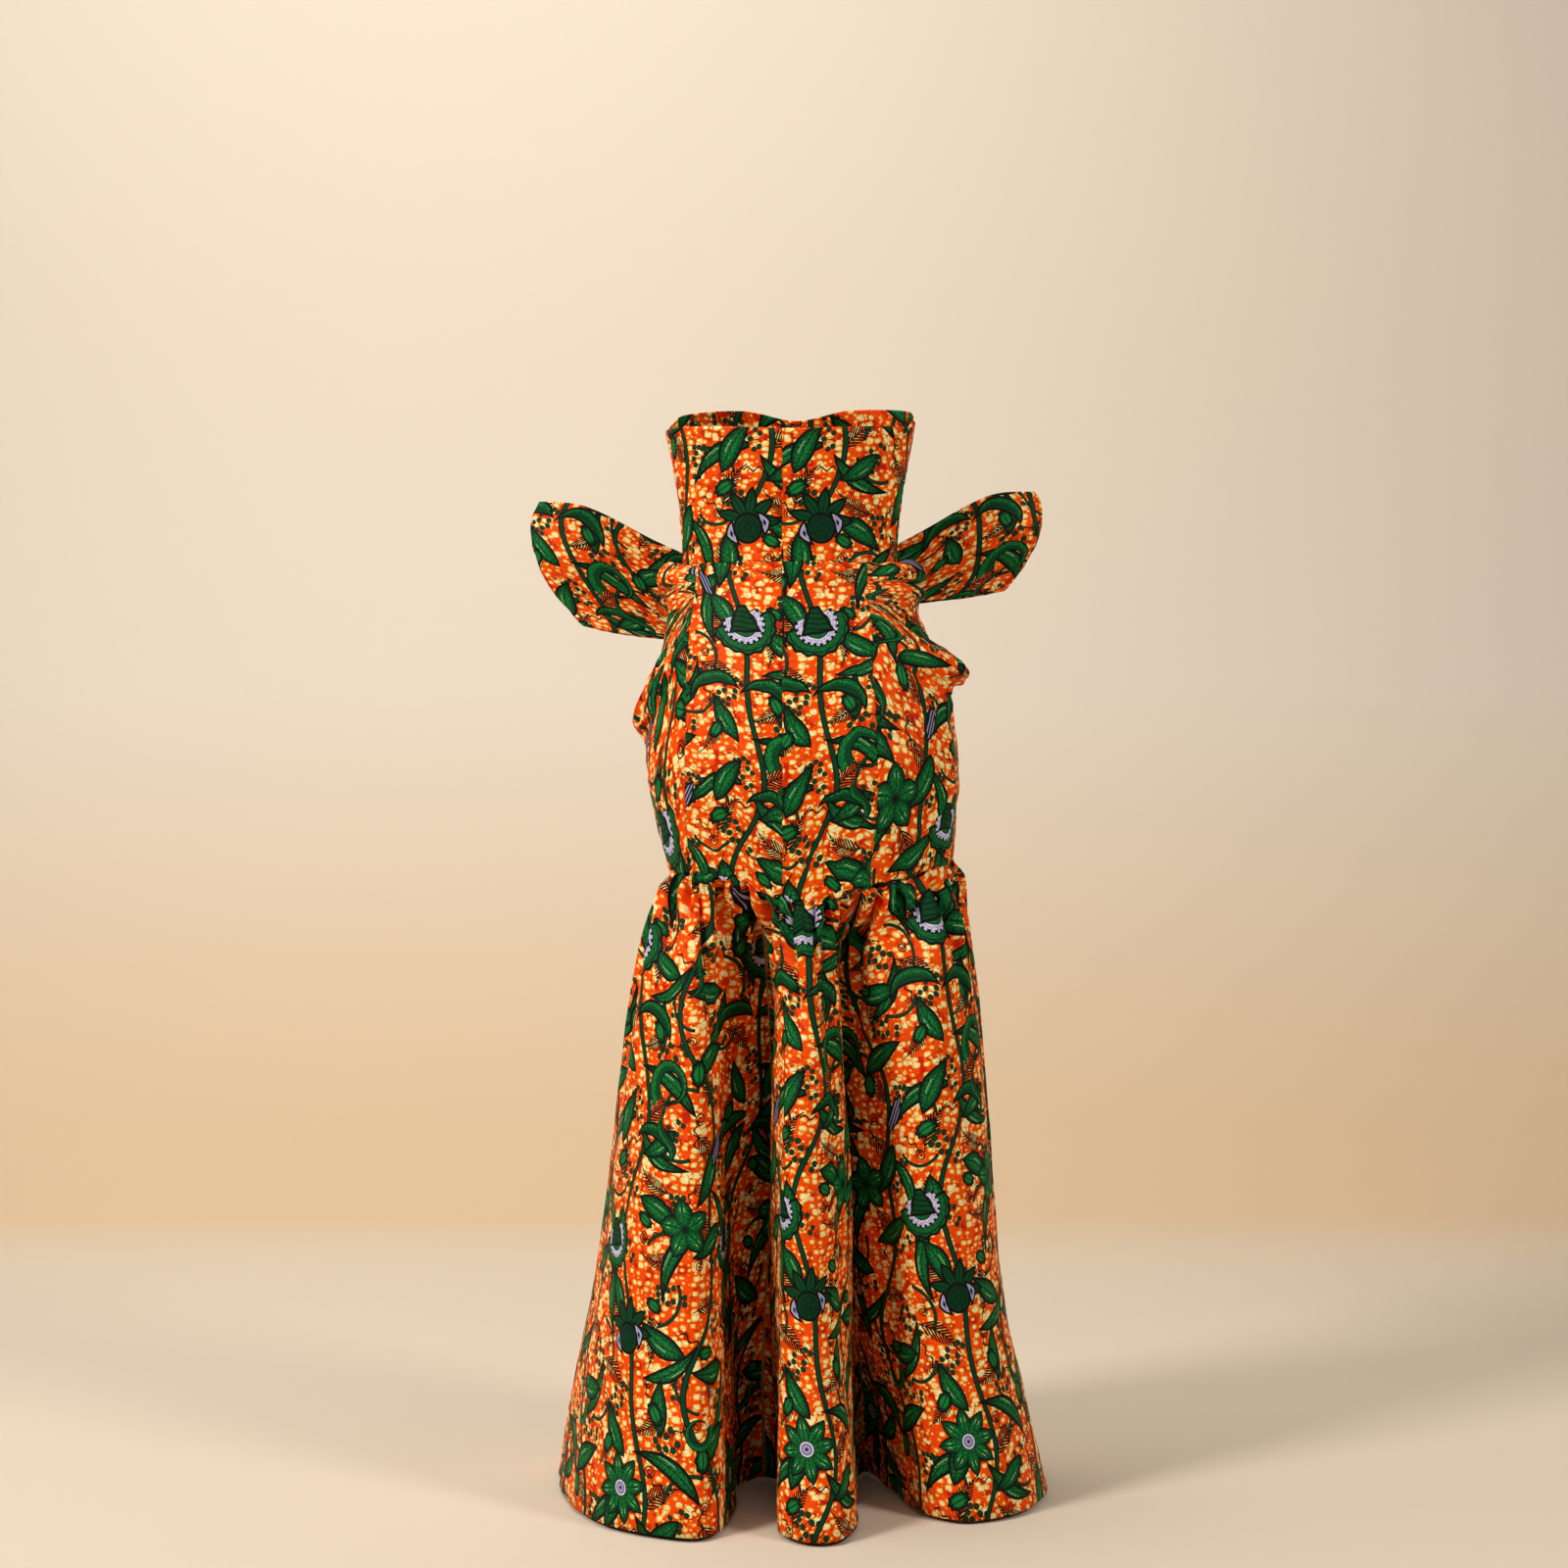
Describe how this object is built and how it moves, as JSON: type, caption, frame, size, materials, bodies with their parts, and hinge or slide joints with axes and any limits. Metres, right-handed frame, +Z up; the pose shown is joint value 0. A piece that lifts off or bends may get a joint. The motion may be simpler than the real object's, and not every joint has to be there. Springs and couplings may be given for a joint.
{
  "type": "strapless evening dress",
  "caption": "Long strapless dress of wax-print cotton as worn, with draped hips, a waist bow and a gathered flounce in deep folds.",
  "frame": {"origin": "on the body's axis at the waist seam, where the wearer holds the dress up", "axes": "+Z up, -Y out of the wearer's back, +X to the wearer's right"},
  "size_m": [0.6164, 0.5161, 1.2693],
  "materials": {
    "printed_cotton": "wax print, low sheen",
    "zip_tape": "woven tape",
    "slider_metal": "dull plated"
  },
  "bodies": {
    "root": {"bodice_back_left": "printed_cotton", "bodice_back_right": "printed_cotton", "bodice_front": "printed_cotton", "skirt_back_left": "printed_cotton", "skirt_back_right": "printed_cotton", "skirt_side_left": "printed_cotton", "skirt_side_right": "printed_cotton", "skirt_front": "printed_cotton", "flounce_back": "printed_cotton", "flounce_front": "printed_cotton", "bow_wing_left": "printed_cotton", "bow_wing_right": "printed_cotton", "bow_knot": "printed_cotton", "back_zip": "zip_tape", "zip_slider": "slider_metal"}
  },
  "joints": []
}
